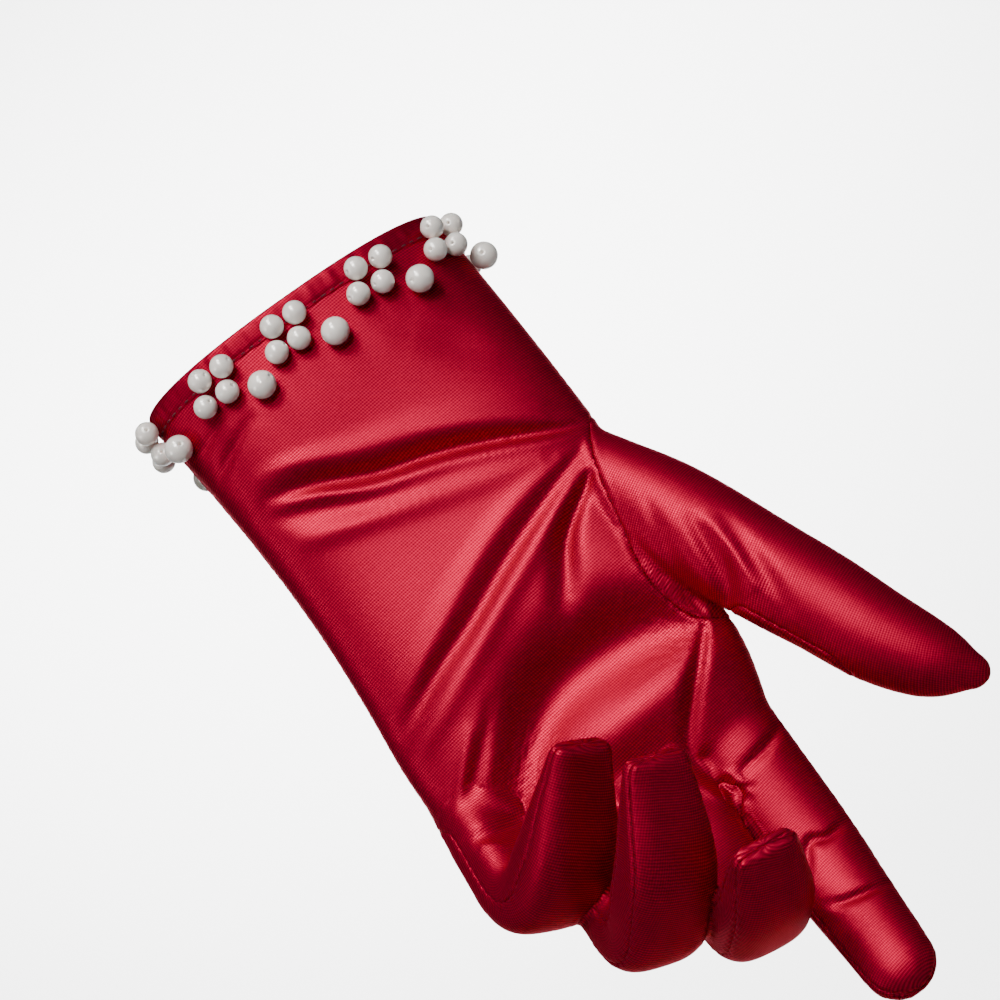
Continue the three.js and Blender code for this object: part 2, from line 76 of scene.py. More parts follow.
def mesh_object(name, points, faces, material):
    mesh = bpy.data.meshes.new(name)
    mesh.from_pydata(points, [], faces)
    mesh.polygons.foreach_set("use_smooth", [True] * len(mesh.polygons))
    mesh.materials.append(material)
    made = bpy.data.objects.new(name, mesh)
    bpy.context.scene.collection.objects.link(made)
    return made


def two_tone_material(name, scale, detail, dark, light):
    material = bpy.data.materials.new(name)
    material.use_nodes = True
    tree = material.node_tree
    noise = tree.nodes.new("ShaderNodeTexNoise")
    noise.inputs["Scale"].default_value = scale
    noise.inputs["Detail"].default_value = detail
    tone = tree.nodes.new("ShaderNodeValToRGB")
    for element, colour in zip(tone.color_ramp.elements, (dark, light)):
        element.color = (*colour, 1)
    shader = tree.nodes["Principled BSDF"]
    tree.links.new(noise.outputs["Fac"], tone.inputs["Fac"])
    tree.links.new(tone.outputs["Color"], shader.inputs["Base Color"])
    return material, shader, noise


sheet_line = [(sheet_front, 0.0), (curve_start, 0.0)]
for k in range(1, curve_steps + 1):
    turn = math.pi / 2 * k / curve_steps
    sheet_line.append((curve_start + curve_radius * math.sin(turn),
                       curve_radius - curve_radius * math.cos(turn)))
sheet_line.append((curve_start + curve_radius, sheet_top))
points = []
for side in (-sheet_half_width, sheet_half_width):
    points += [(side, y, floor_height + z) for y, z in sheet_line]
count = len(sheet_line)
faces = [(k, k + 1, count + k + 1, count + k) for k in range(count - 1)]
paper, paper_shader, _ = two_tone_material("backdrop_paper", 3, 2, (0.9, 0.9, 0.9),
                                           (0.93, 0.93, 0.93))
paper_shader.inputs["Roughness"].default_value = 0.9
backdrop = mesh_object("backdrop", points, faces, paper)

# Lights
# A large soft light at the picture's upper left with a smaller one beyond it, weaker ones at
# the lower left, the right and near the camera, and two lights on the backdrop.
def soft_light(name, place, aim, size, power, spread):
    data = bpy.data.lights.new(name, "AREA")
    data.shape = "RECTANGLE"
    data.size, data.size_y = size
    data.energy = power
    data.spread = math.radians(spread)
    light = bpy.data.objects.new(name, data)
    bpy.context.scene.collection.objects.link(light)
    light.location = place
    light.rotation_euler = (aim - place).to_track_quat("-Z", "Y").to_euler()


def from_target(across, upward, toward):
    return target + across * right + upward * up - toward * ahead


glove_spread, backdrop_spread = 28, 70
for name, place, size, power in (
        ("key_light", from_target(-0.56, 0.66, 0.95), (0.55, 0.5), 0.78),
        ("wrist_light", from_target(-0.6, 0.8, 0.4), (0.3, 0.3), 0.24),
        ("highlight_light", from_target(-0.25, 0.35, 1.0), (0.06, 0.06), 0.05),
        ("edge_light", from_target(-0.9, -0.45, 0.4), (0.3, 0.3), 0.08),
        ("side_light", from_target(0.9, 0.5, 0.25), (0.2, 0.4), 0.012)):
    soft_light(name, place, target, size, power, glove_spread)
backdrop_middle = Vector((0, 2.6, 0.55))
for name, x in (("backdrop_light_left", -1.2), ("backdrop_light_right", 1.2)):
    soft_light(name, Vector((x, 1.0, 1.4)), backdrop_middle, (0.6, 0.6), 40, backdrop_spread)
world = bpy.data.worlds.new("studio")
world.use_nodes = True
world.node_tree.nodes["Background"].inputs["Color"].default_value = (1, 1, 1, 1)
world.node_tree.nodes["Background"].inputs["Strength"].default_value = 0.01
bpy.context.scene.world = world

# Glove skin
# The worn form of the whole glove in satin tricot, before it is parted into its sewn panels.
# Sizes here are in millimetres, with the wrist opening at z = 0 and the palm towards -y.
palm_length = 143.0
wrist_half_width = 42.0
wrist_half_depth = 20.0
body_columns = ("down", "left", "right", "front", "back", "turn", "tilt")
body_rows = dict(zip(body_columns, np.array([
    (0.0, 1.05, 0.985, 1.1, 1.1, 6, 0),
    (0.15, 1.005, 1.0, 0.99, 1.0, 5, 0),
    (0.3, 0.975, 1.01, 0.84, 0.86, 3.5, 0),
    (0.45, 0.97, 1.01, 0.75, 0.75, 2, 0),
    (0.6, 1.0, 0.99, 0.72, 0.7, 1, 0),
    (0.75, 1.05, 0.96, 0.71, 0.67, 0, 0.04),
    (0.88, 1.06, 0.92, 0.66, 0.63, 0, 0.12),
    (1.0, 1.02, 0.78, 0.4, 0.42, 0, 0.2),
]).T))


def ease(t):
    t = np.clip(t, 0, 1)
    return t * t * (3 - 2 * t)


def curve_value(places, values, at):
    places, values = np.asarray(places, float), np.asarray(values, float)
    at = np.clip(np.asarray(at, float), places[0], places[-1])
    k = np.clip(np.searchsorted(places, at, side="right") - 1, 0, len(places) - 2)
    slope = np.empty_like(values)
    slope[1:-1] = (values[2:] - values[:-2]) / (places[2:] - places[:-2])
    slope[0] = (values[1] - values[0]) / (places[1] - places[0])
    slope[-1] = (values[-1] - values[-2]) / (places[-1] - places[-2])
    span = places[k + 1] - places[k]
    t = (at - places[k]) / span
    return ((2 * t ** 3 - 3 * t ** 2 + 1) * values[k] + (t ** 3 - 2 * t ** 2 + t) * span * slope[k]
            + (3 * t ** 2 - 2 * t ** 3) * values[k + 1] + (t ** 3 - t ** 2) * span * slope[k + 1])


def body_value(column, down):
    return curve_value(body_rows["down"], body_rows[column], down)


def body_ring(down, angles, out=0.0):
    c, s = np.cos(angles), np.sin(angles)
    wide = np.where(c > 0, body_value("right", down), body_value("left", down))
    deep = np.where(s > 0, body_value("back", down), body_value("front", down))
    power = np.where(s > 0, 2.35, 2.35 + 0.75 * ease(down / 0.3))
    x = (wrist_half_width * wide + out) * np.sign(c) * np.abs(c) ** (2 / power)
    y = (wrist_half_depth * deep + out) * np.sign(s) * np.abs(s) ** (2 / power)
    turn = np.radians(body_value("turn", down))
    across = x * np.cos(turn) - y * np.sin(turn)
    z = -down * palm_length - body_value("tilt", down) * across
    return np.stack([across, x * np.sin(turn) + y * np.cos(turn), z + 0 * across], 1)


fingers = {
    "index": dict(
        root=(0.548, 0.075, 0.916), splay=-0.5, cup=0, bend=(4, 16, 26), bones=(46, 19, 28),
        wide=(12, 11, 9.8, 8.2), front=(8.5, 7.6, 7.2, 5.4), rear=(8.5, 8.2, 7.6, 5.4),
        tip=9, flat=False, sides=(-1,)),
    "middle": dict(
        root=(0.062, 0.05, 0.958), splay=-8, cup=16, bend=(20, 98, 114), bones=(51, 25, 18),
        wide=(11.4, 10.6, 10, 7.8), front=(8.0, 7.6, 7.0, 2.2), rear=(8.5, 8.5, 8.0, 2.6),
        tip=2, flat=True, sides=(-1, 1)),
    "ring": dict(
        root=(-0.414, 0.05, 0.909), splay=-17, cup=26, bend=(28, 123, 148), bones=(50, 27, 25),
        wide=(10.2, 10.6, 10.6, 7.6), front=(8.0, 8.5, 8.5, 3.0), rear=(8.5, 8.5, 8.0, 2.6),
        tip=2, flat=True, sides=(-1, 1)),
    "little": dict(
        root=(-0.838, 0.05, 0.825), splay=-23, cup=36, bend=(32, 122, 142),
        bones=(38.5, 20, 26), wide=(9.4, 10.3, 10.8, 7.4), front=(7.5, 8.5, 9.0, 3.2),
        rear=(8.0, 8.2, 7.6, 2.4), tip=2, flat=True, sides=(1,)),
}
finger_root = 16.0
for finger in fingers.values():
    splay, cup = math.radians(finger["splay"]), math.radians(finger["cup"])
    along = np.array([math.sin(splay), 0, -math.cos(splay)])
    across = np.array([math.cos(splay), 0, math.sin(splay)])
    palmward = np.array([0, -math.cos(cup), 0]) + across * math.sin(cup)
    across_start = np.array([0, math.sin(cup), 0]) + across * math.cos(cup)
    first, second, third = finger["bones"]
    length = finger_root + first + second + third
    s = np.linspace(0, length, 241)
    a, b, c = finger["bend"]
    bend = np.radians(a * ease((s - finger_root) / 20 + 0.5)
                      + (b - a) * ease((s - finger_root - first) / 24 + 0.5)
                      + (c - b) * ease((s - finger_root - first - second) / 14 + 0.5))[:, None]
    ahead_way = along * np.cos(bend) + palmward * np.sin(bend)
    level_way = palmward * np.cos(bend) - along * np.sin(bend)
    ease_roll = cup * (1 - ease((s - finger_root * 0.5) / (finger_root * 1.5)))[:, None]
    root = np.array(finger["root"]) * (wrist_half_width, wrist_half_depth, -palm_length)
    steps = np.vstack([np.zeros(3), ahead_way[:-1] * (s[1] - s[0])])
    places = [0, finger_root + first, finger_root + first + second, length]
    finger["line"] = dict(
        s=s, length=length, centre=root - along * finger_root + np.cumsum(steps, axis=0),
        ahead=ahead_way,
        side=across_start * np.cos(ease_roll) + level_way * np.sin(ease_roll),
        front=level_way * np.cos(ease_roll) - across_start * np.sin(ease_roll),
        wide=curve_value(places, finger["wide"], s),
        palmar=curve_value(places, finger["front"], s),
        rear=curve_value(places, finger["rear"], s))

thumb_root = np.array([0.81, 0.05, 0.434]) * (wrist_half_width, wrist_half_depth, -palm_length)
thumb_rows = np.array([
    (0, 0, 0, 5.4, 6.5), (2, -3, -13, 9.1, 9.0), (9.2, -8.5, -34, 12.4, 10.5),
    (19.4, -14, -61, 12.2, 10.0), (24.8, -15.5, -74, 11.7, 9.6), (29.6, -17, -87, 11.0, 9.0),
    (34.8, -18.1, -97.5, 9.6, 7.8), (38.8, -18.6, -103.5, 7.6, 6.4), (42.6, -19, -108.5, 4.0, 3.8),
])
row_steps = np.linalg.norm(np.diff(thumb_rows[:, :3], axis=0), axis=1)
row_places = np.concatenate([[0], np.cumsum(row_steps)])
s = np.linspace(0, row_places[-1], 121)
centre = thumb_root + np.stack([curve_value(row_places, thumb_rows[:, k], s) for k in range(3)], 1)
ahead_way = np.gradient(centre, axis=0)
ahead_way /= np.linalg.norm(ahead_way, axis=1)[:, None]
front_way = np.array([0, -1.0, 0]) + ahead_way * ahead_way[:, 1:2]
front_way /= np.linalg.norm(front_way, axis=1)[:, None]
thumb_line = dict(
    s=s, length=row_places[-1], centre=centre, ahead=ahead_way, front=front_way,
    side=np.cross(front_way, ahead_way),
    wide=curve_value(row_places, thumb_rows[:, 3], s),
    palmar=curve_value(row_places, thumb_rows[:, 4], s),
    rear=curve_value(row_places, thumb_rows[:, 4], s))


def tube_rings(line, picked, shares, power=2.0, sides=40):
    rings = []
    turns = 2 * math.pi * np.arange(sides) / sides
    across = np.sign(np.cos(turns)) * np.abs(np.cos(turns)) ** (2 / power)
    outward = np.sign(np.sin(turns)) * np.abs(np.sin(turns)) ** (2 / power)
    for k, (ahead_by, scale) in zip(picked, shares):
        deep = np.where(np.sin(turns) > 0, line["palmar"][k], line["rear"][k])
        rings.append(line["centre"][k] + line["ahead"][k] * ahead_by
                     + line["side"][k] * (line["wide"][k] * scale * across)[:, None]
                     + line["front"][k] * (deep * scale * outward)[:, None])
    return rings


def closed_loft(rings):
    sides = len(rings[0])
    middle = [rings[0].mean(0), rings[-1].mean(0)]
    points = np.vstack(rings + [np.array(middle)])
    faces = []
    for r in range(len(rings) - 1):
        for i in range(sides):
            a, b = r * sides + i, r * sides + (i + 1) % sides
            faces.append((a, b, b + sides, a + sides))
    top, bottom, end = len(points) - 2, len(points) - 1, (len(rings) - 1) * sides
    faces += [(i, top, (i + 1) % sides) for i in range(sides)]
    faces += [(end + i, end + (i + 1) % sides, bottom) for i in range(sides)]
    return points, faces


lofts = []
body_angles = 2 * math.pi * np.arange(180) / 180
body_rings = [body_ring(down, body_angles) for down in np.linspace(0, 1, 110)]
body_rings.insert(0, body_rings[0] + (0, 0, 8))
lofts.append(closed_loft(body_rings))
for finger in fingers.values():
    line = finger["line"]
    last = int(np.searchsorted(line["s"], line["length"] - finger["tip"]))
    picked = list(range(0, last, 3)) + [last]
    shares = [(0, 1)] * len(picked)
    if finger["flat"]:
        ends = [(0.4, 0.99), (0.8, 0.95), (1.0, 0.9)]
    else:
        ends = [(math.sin(t), math.cos(t)) for t in np.linspace(0, 1.5, 9)[1:]]
    shares += [(finger["tip"] * reach, scale) for reach, scale in ends]
    picked += [last] * len(ends)
    lofts.append(closed_loft(tube_rings(line, picked, shares, 3.4 if finger["flat"] else 2.2)))
thumb_ends = [(3.6 * math.sin(t), math.cos(t)) for t in np.linspace(0, 1.5, 7)[1:]]
picked = list(range(0, 121, 3)) + [120] * len(thumb_ends)
lofts.append(closed_loft(tube_rings(thumb_line, picked, [(0, 1)] * 41 + thumb_ends)))


web_drop, web_reach, web_depth = 25, 16, 5.5
finger_names = list(fingers)
for name, next_name in zip(finger_names, finger_names[1:]):
    ends = []
    turns = 2 * math.pi * np.arange(24) / 24
    for line in (fingers[name]["line"], fingers[next_name]["line"]):
        at = int(np.searchsorted(line["s"], finger_root + web_drop - web_reach))
        ends.append(line["centre"][at] + np.outer(web_depth * np.sin(turns), line["front"][at])
                    + np.outer(web_reach * np.cos(turns), line["ahead"][at]))
    lofts.append(closed_loft([ends[0] * (1 - t) + ends[1] * t for t in np.linspace(0, 1, 13)]))

form_points, form_faces = [], []
for points, faces in lofts:
    offset = sum(len(p) for p in form_points)
    form_points.append(points)
    form_faces += [tuple(offset + v for v in face) for face in faces]
form_mesh = bpy.data.meshes.new("glove_form")
form_mesh.from_pydata(np.vstack(form_points).tolist(), [], form_faces)
form = bpy.data.objects.new("glove_form", form_mesh)
bpy.context.scene.collection.objects.link(form)
remesh = form.modifiers.new("even_mesh", "REMESH")
remesh.mode = "VOXEL"
remesh.voxel_size = 0.8
even = bpy.data.meshes.new_from_object(form.evaluated_get(bpy.context.evaluated_depsgraph_get()))
bpy.data.objects.remove(form)
even.calc_loop_triangles()
skin = np.empty(len(even.vertices) * 3)
even.vertices.foreach_get("co", skin)
skin = skin.reshape(-1, 3)
triangles = np.empty(len(even.loop_triangles) * 3, int)
even.loop_triangles.foreach_get("vertices", triangles)
triangles = triangles.reshape(-1, 3)
edges = np.empty(len(even.edges) * 2, int)
even.edges.foreach_get("vertices", edges)
edges = edges.reshape(-1, 2)
bpy.data.meshes.remove(even)


def neighbour_mean(values, edges, count):
    total = np.zeros((count, values.shape[1]))
    number = np.bincount(edges.ravel(), minlength=count)[:, None]
    for k in range(values.shape[1]):
        total[:, k] = (np.bincount(edges[:, 0], values[edges[:, 1], k], count)
                       + np.bincount(edges[:, 1], values[edges[:, 0], k], count))
    return total / np.maximum(number, 1)


def vertex_normals(points, triangles):
    a, b, c = (points[triangles[:, k]] for k in range(3))
    face = np.cross(b - a, c - a)
    normals = np.zeros_like(points)
    for k in range(3):
        for axis in range(3):
            normals[:, axis] += np.bincount(triangles[:, k], face[:, axis], len(points))
    return normals / np.maximum(np.linalg.norm(normals, axis=1), 1e-9)[:, None]


def drawn_smooth(skin, share, passes):
    for _ in range(passes):
        skin = skin + 0.5 * share * (neighbour_mean(skin, edges, len(skin)) - skin)
    return skin


# The cloth stretches smooth over the whole hand, most of all over the knuckles and over the
# root of the little finger. Smoothing shrinks it a little, which the lift makes good.
smoothing_lift = 0.35
skin = drawn_smooth(skin, 1, 12)
knuckle_back = (np.exp(-((skin[:, 2] + 134) / 15) ** 2) * (skin[:, 1] > 2))[:, None]
skin = drawn_smooth(skin, knuckle_back, 90)
little_root = (np.exp(-((skin[:, 0] + 36) / 10) ** 2 - ((skin[:, 2] + 120) / 9) ** 2)
               * (skin[:, 1] < 2))[:, None]
skin = drawn_smooth(skin, little_root, 80)
skin += smoothing_lift * vertex_normals(skin, triangles)

# Places on the skin
# The glove's seams and creases follow the fingers, so each point of the cloth gets its place on
# every finger: how far along it, and how far to its side and to its front.
lines = [fingers[name]["line"] for name in fingers] + [thumb_line]
for line in lines:
    line["tree"] = KDTree(len(line["s"]))
    for i, place in enumerate(line["centre"]):
        line["tree"].insert(place, i)
    line["tree"].balance()


def line_place(line, points):
    nearest = np.array([line["tree"].find(place)[1] for place in points.tolist()])
    arm = points - line["centre"][nearest]
    ahead_by, side, front = (np.einsum("ij,ij->i", arm, line[way][nearest])
                             for way in ("ahead", "side", "front"))
    return nearest, line["s"][nearest] + ahead_by, side, front


tube_s = np.empty((len(lines), len(skin)))
tube_side = np.empty_like(tube_s)
tube_front = np.empty_like(tube_s)
tube_ratio = np.empty_like(tube_s)
for k, line in enumerate(lines):
    nearest, tube_s[k], tube_side[k], tube_front[k] = line_place(line, skin)
    deep = np.where(tube_front[k] > 0, line["palmar"][nearest], line["rear"][nearest])
    tube_ratio[k] = np.hypot(tube_side[k] / line["wide"][nearest], tube_front[k] / deep)
    past = tube_s[k] - line["length"]
    tube_ratio[k] += np.clip(past - 2, 0, None) * 0.2

thumb_seam = thumb_root[[0, 2]] + np.array([
    (10.5, 1), (4, -10), (0.5, -20), (-2.7, -34), (-4.2, -45), (-2.8, -54), (0.8, -59),
    (8.5, -63)])
thumb_outside = thumb_root[[0, 2]] + np.array([
    (18, -85), (28, -125), (66, -125), (66, -25), (26, 5)])


def outline_distance(x, z, outline):
    near = np.full(len(x), 1e9)
    inside = np.zeros(len(x), bool)
    for (ax, az), (bx, bz) in zip(outline, np.roll(outline, -1, axis=0)):
        t = ((x - ax) * (bx - ax) + (z - az) * (bz - az)) / ((bx - ax) ** 2 + (bz - az) ** 2)
        t = np.clip(t, 0, 1)
        near = np.minimum(near, np.hypot(x - ax - t * (bx - ax), z - az - t * (bz - az)))
        crosses = (az > z) != (bz > z)
        inside ^= crosses & (x < (bx - ax) * (z - az) / np.where(bz == az, 1, bz - az) + ax)
    return np.where(inside, near, -near)


def rounded(line, steps=8):
    places = np.arange(len(line))
    at = np.linspace(0, len(line) - 1, (len(line) - 1) * steps + 1)
    return np.stack([curve_value(places, line[:, k], at) for k in range(line.shape[1])], 1)


thumb_field = outline_distance(skin[:, 0], skin[:, 2],
                               np.vstack([rounded(thumb_seam), thumb_outside]))

# Folds
# Tension folds that run from the thumb seam over the palm, creases at the finger joints and
# small wrinkles by the hem. A positive depth is a valley and a negative one a ridge.
folds = [
    # on, rows of x, z, deep, reach
    ("palm", [(39.6, -66, 1.0, 1.2), (33, -63.6, 2.2, 1.8), (19.4, -56.7, 3.2, 2.4),
              (6.5, -51.1, 3.3, 2.7), (-6.9, -46.6, 3.0, 2.7), (-19.6, -40.3, 2.4, 2.5),
              (-30.7, -36.1, 0.5, 1.8)]),
    ("palm", [(37.8, -67.4, -0.4, 1.5), (29.3, -64, -0.9, 2), (10.4, -55.6, -1.2, 2.2),
              (-9.4, -49.4, -1.2, 2), (-21.6, -43, -1.0, 1.6), (-31.8, -39, -0.3, 1.5)]),
    ("palm", [(33, -57, -0.5, 3), (17, -49.5, -0.9, 3.5), (4, -44, -0.9, 3.5),
              (-9, -39.5, -0.9, 3), (-21, -34, -0.8, 2.2), (-30, -31.5, -0.3, 2)]),
    ("palm", [(-38.3, -36.4, 0.4, 4), (-26.7, -43.6, 1.3, 3.5), (-15.6, -49.3, 1.2, 3.5),
              (-4.3, -54, 0.3, 3.5)]),
    ("palm", [(-31.2, -49.3, -0.4, 2.5), (-20.9, -53.1, -0.8, 2.5), (6.4, -62, -0.7, 3),
              (26, -67.8, -0.3, 2)]),
    ("palm", [(35, -71.2, 0.4, 1), (20.4, -76.5, 1.3, 2.2), (6.8, -81.8, 1.6, 2.8),
              (-8.1, -88.5, 1.6, 2.8), (-21.1, -93.2, 1.5, 2.6), (-30.1, -97.1, 1.2, 2.6),
              (-40.5, -101.6, 0.3, 2.6)]),
    ("palm", [(30, -70.5, -0.3, 1.5), (15.3, -73, -0.7, 2.5), (-1.6, -79, -0.8, 2.8),
              (-21.4, -88.5, -0.7, 2.8), (-38, -95.5, -0.2, 2.8)]),
    ("palm", [(33.4, -75.2, -0.4, 1.3), (15, -83.3, -1.0, 2.6), (-1.3, -90.3, -1.1, 3),
              (-14.2, -96.6, -1.0, 3), (-31.9, -104.3, -0.8, 3), (-43.8, -107.8, -0.2, 3)]),
    ("palm", [(33.5, -77.6, 1.0, 1.2), (20.7, -86, 2.6, 2.4), (13.5, -95, 2.0, 3.4),
              (8, -101, 0.6, 3.4)]),
    ("palm", [(36, -121, 2.5, 6), (27, -117.5, 6.0, 8.5), (16.3, -114.5, 8.4, 10.5),
              (4, -113.5, 8.8, 10.5), (-5.1, -115, 8.4, 9.5), (-14.1, -119.5, 6.8, 8),
              (-25, -127.5, 3.2, 6)]),
    ("palm", [(28, -129, -0.6, 5), (14, -129.5, -1.2, 6), (2, -131, -1.0, 6)]),
    ("palm", [(33.2, -122.8, 0.8, 1.2), (27.9, -128.5, 1.8, 1.8), (20.8, -135.1, 2, 2),
              (14.8, -142.2, 1.8, 2), (10.4, -152, 0.6, 2)]),
    ("palm", [(-25.9, -110.4, -0.3, 1.6), (-35.2, -119.3, -0.8, 1.6), (-42, -127, -0.5, 1.6)]),
    ("palm", [(-16.8, -107, 0.2, 1.6), (-27.5, -116.6, 0.9, 1.8), (-38.5, -125.8, 0.6, 1.8)]),
    ("palm", [(-23.4, -18.8, 0.3, 1.5), (-31.9, -22.2, 0.9, 1.6), (-37.6, -24.5, 0.4, 1.6)]),
    ("palm", [(-28.4, -14.2, 0.3, 1.3), (-35.9, -16.7, 0.6, 1.3)]),
    ("palm", [(20.3, -25.6, 0.3, 5), (27.2, -32.6, 0.8, 5), (33.6, -40.6, 0.3, 5)]),
    ("thumb", [(40.5, -91.8, 0.2, 1.5), (37.3, -103.9, 0.9, 2.2), (35.8, -113.7, 1.4, 2.4),
               (35.1, -118.6, 0.8, 2)]),
    ("thumb", [(46, -102.5, 0.5, 1.8), (45.4, -109.8, 1.6, 2.4), (44.5, -116.4, 2.2, 2.6),
               (42, -122.7, 1.2, 2.4)]),
    ("thumb", [(52.4, -106.6, 0.2, 1.8), (52.1, -117.3, 0.8, 2.2), (51.8, -125.6, 0.9, 2.2),
               (51.1, -132.6, 0.4, 2)]),
    ("thumb", [(49, -106, -0.3, 1.8), (48.8, -116, -0.7, 1.8), (47.5, -124, -0.5, 1.8)]),
    ("base", [(-42, -130.5, 0.6, 1.8), (-36.5, -132.5, 1.6, 2.2), (-31, -134, 1.6, 2.4),
              (-27, -134, 0.6, 2.4)]),
    ("crotch", [(10.2, -151.7, -0.3, 1.2), (12.4, -157.5, -0.9, 1.4), (14.9, -163.3, -0.3, 1.2)]),
    ("crotch", [(12.6, -150.5, 0.3, 1.1), (15, -156, 0.9, 1.1), (17.5, -162, 0.3, 1.1)]),
    ("crotch", [(13.5, -154, -0.2, 0.6), (17.2, -156.7, -0.6, 0.6), (21, -158.2, -0.2, 0.6)]),
    ("crotch", [(14.8, -158.4, 0.2, 0.5), (17.8, -158.2, 0.5, 0.5), (20.2, -160.4, 0.2, 0.5)]),
    ("crotch", [(16.4, -152.6, -0.2, 0.6), (18.2, -155.4, -0.6, 0.6), (18.8, -160, -0.2, 0.6)]),
    ("crotch", [(15.2, -153.2, 0.2, 0.5), (16.6, -155.6, 0.5, 0.5), (16.2, -159.6, 0.2, 0.5)]),
    ("index", [(36, -150, 1.0, 1.2), (28.7, -153.8, 1.5, 1.5), (21.1, -155.1, 0.8, 1.5)]),
    ("index", [(36, -178, 1.2, 1.1), (27.4, -179.8, 1.5, 1.2), (22.5, -178.3, 1.2, 1.3),
               (18, -184, 0.4, 1.3)]),
    ("index", [(34, -197, 0.8, 1.1), (25.8, -195.6, 1.4, 1.2), (20.5, -194.2, 1.1, 1.2),
               (17.7, -192.8, 0.4, 1.2)]),
]
lengths = np.array([line["length"] for line in lines])[:, None]
tip_zone = 14
near_tip = np.clip((tube_s - lengths + tip_zone) / 6, 0, 2)
finger_hold = np.zeros((len(lines), len(skin)))
for k in range(len(fingers)):
    finger_hold[k] = ease((tube_s[k] - finger_root - 2) / 10) * ease(
        (1.6 + near_tip[k] - tube_ratio[k]) / 0.5)
nearest_finger = np.argmin(np.where(finger_hold[:4] > 0, tube_ratio[:4], 9), axis=0)
own_hold = finger_hold[nearest_finger, np.arange(len(skin))]
normals = vertex_normals(skin, triangles)
facing = ease(-normals[:, 1] * 1.8)
on_thumb = ease(thumb_field / 7 + 0.5)
weights = {
    "palm": facing * (1 - own_hold) * (1 - ease(thumb_field / 14 + 0.32)),
    "index": facing * (tube_ratio[0] < 1.25) * ease((tube_s[0] - finger_root) / 6),
    "thumb": facing * on_thumb,
    "crotch": facing * (skin[:, 1] > -14),
    "base": facing * (skin[:, 1] > -18),
}
push = np.zeros(len(skin))
for on, rows in folds:
    samples = rounded(np.array(rows, float), 12)
    reached = np.flatnonzero(weights[on] > 0.01)
    gap = np.full(len(reached), 1e9)
    amount = np.zeros(len(reached))
    for x, z, deep, reach in samples:
        near = np.hypot(skin[reached, 0] - x, skin[reached, 2] - z)
        closer = near < gap
        gap[closer] = near[closer]
        amount[closer] = deep * np.exp(-(near[closer] / reach) ** 2)
    push[reached] += amount * weights[on][reached]
skin[:, 1] += push

# Panels
# The glove is cut as a palm, a back, a thumb and three fourchettes, the strips between the
# fingers. The skin is parted along the lines in which they are sewn together.
turn = np.radians(body_value("turn", -skin[:, 2] / palm_length))
body_back = skin[:, 1] - skin[:, 0] * np.tan(turn)
finger_back = -tube_front[nearest_finger, np.arange(len(skin))]
back_field = own_hold * finger_back + (1 - own_hold) * body_back
seam_fields = {"thumb": thumb_field, "back": back_field}


def side_strip(name, side):
    k = finger_names.index(name)
    line = fingers[name]["line"]
    share = np.clip(tube_s[k] / line["length"], 0, 1)
    angle = np.radians(42 + (24 - 42) * share)
    at = np.clip(np.searchsorted(line["s"], tube_s[k]), 0, 240)
    out = side * tube_side[k]
    rise_to = out * np.tan(angle) * line["palmar"][at] / line["wide"][at]
    field = np.minimum(rise_to - np.abs(tube_front[k]), tube_s[k] - finger_root - web_drop + 5)
    near_tube = (tube_ratio[k] < 1.3 + near_tip[k]) & (nearest_finger == k)
    return np.where((out > 0) & near_tube, field, -3.0)


def web(name, next_name):
    ends = []
    for finger_name in (name, next_name):
        line = fingers[finger_name]["line"]
        at = int(np.searchsorted(line["s"], finger_root + web_drop))
        ends.append([line[key][at] for key in ("centre", "ahead", "front")])
    (centre_a, ahead_a, front_a), (centre_b, ahead_b, front_b) = ends
    across_way = centre_b - centre_a
    share = np.clip((skin - centre_a) @ across_way / (across_way @ across_way), 0, 1)[:, None]
    arm = skin - centre_a - share * across_way
    down = np.einsum("ij,ij->i", arm, ahead_a + share * (ahead_b - ahead_a))
    out = np.einsum("ij,ij->i", arm, front_a + share * (front_b - front_a))
    between = ease(np.minimum(share, 1 - share)[:, 0] * 8)
    return 4.5 * (between - np.hypot(down / 6, out / 4.5))


for name, next_name in zip(finger_names, finger_names[1:]):
    seam_fields[f"fourchette_{name}_{next_name}"] = np.maximum(
        np.maximum(side_strip(name, -1), side_strip(next_name, 1)), web(name, next_name))

columns = ["x", "y", "z"] + list(seam_fields)
data = np.column_stack([skin] + list(seam_fields.values()))


def cut(data, triangles, column):
    field = np.where(np.abs(data[:, column]) < 0.08, 0, data[:, column])
    data[:, column] = field
    sign = np.sign(field)
    corner = sign[triangles]
    crossing = (corner.min(1) < 0) & (corner.max(1) > 0)
    work = triangles[crossing]
    pairs = np.stack([work, np.roll(work, -1, axis=1)], 2)
    crossed = sign[pairs[..., 0]] * sign[pairs[..., 1]] < 0
    ends, index = np.unique(np.sort(pairs[crossed], axis=1), axis=0, return_inverse=True)
    a, b = ends.T
    t = (field[a] / (field[a] - field[b]))[:, None]
    added = data[a] * (1 - t) + data[b] * t
    added[:, column] = 0
    middle = np.full(crossed.shape, -1)
    middle[crossed] = len(data) + index.ravel()
    made = []
    for corners, halves in zip(work.tolist(), middle.tolist()):
        upper, lower = [], []
        for vertex, half in zip(corners, halves):
            if sign[vertex] >= 0:
                upper.append(vertex)
            if sign[vertex] <= 0:
                lower.append(vertex)
            if half >= 0:
                upper.append(half)
                lower.append(half)
        for ring in (upper, lower):
            made += [(ring[0], ring[i], ring[i + 1]) for i in range(1, len(ring) - 1)]
    return np.vstack([data, added]), np.vstack([triangles[~crossing], np.array(made)])


hem_line = 5.6
data[:, 2] += hem_line
data, triangles = cut(data, triangles, 2)
data[:, 2] -= hem_line
triangles = triangles[data[triangles, 2].max(1) <= 0.01 - hem_line]
for name in seam_fields:
    data, triangles = cut(data, triangles, columns.index(name))


